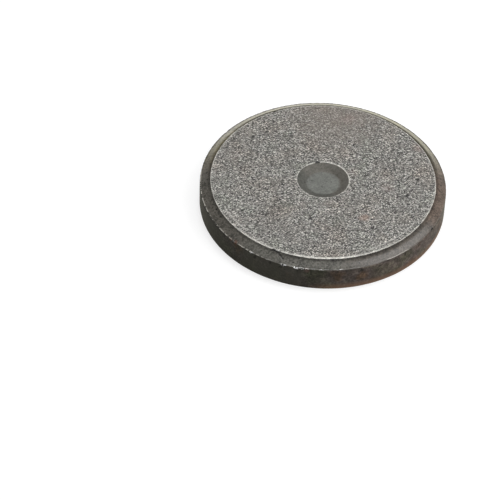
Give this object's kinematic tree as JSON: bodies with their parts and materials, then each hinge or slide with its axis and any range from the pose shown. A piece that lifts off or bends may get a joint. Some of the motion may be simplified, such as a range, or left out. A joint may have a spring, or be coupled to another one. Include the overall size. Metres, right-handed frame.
{
  "type": "disc magnet",
  "caption": "Round ferrite disc magnet with a ground face, a bevelled rim with a narrow land, and a shallow dimple in the middle of the face.",
  "frame": {"origin": "centre of the plain underside, on the surface that the disc lies on", "axes": "+Z along the disc's axis, from the underside towards the ground face with the dimple; X and Y lie in the underside"},
  "size_m": [0.0382, 0.0382, 0.0048],
  "materials": {
    "sintered_ferrite": "top face ground and matt, rim and dimple as sintered with a satin sheen"
  },
  "bodies": {
    "root": {"magnet": "sintered_ferrite"}
  },
  "joints": []
}
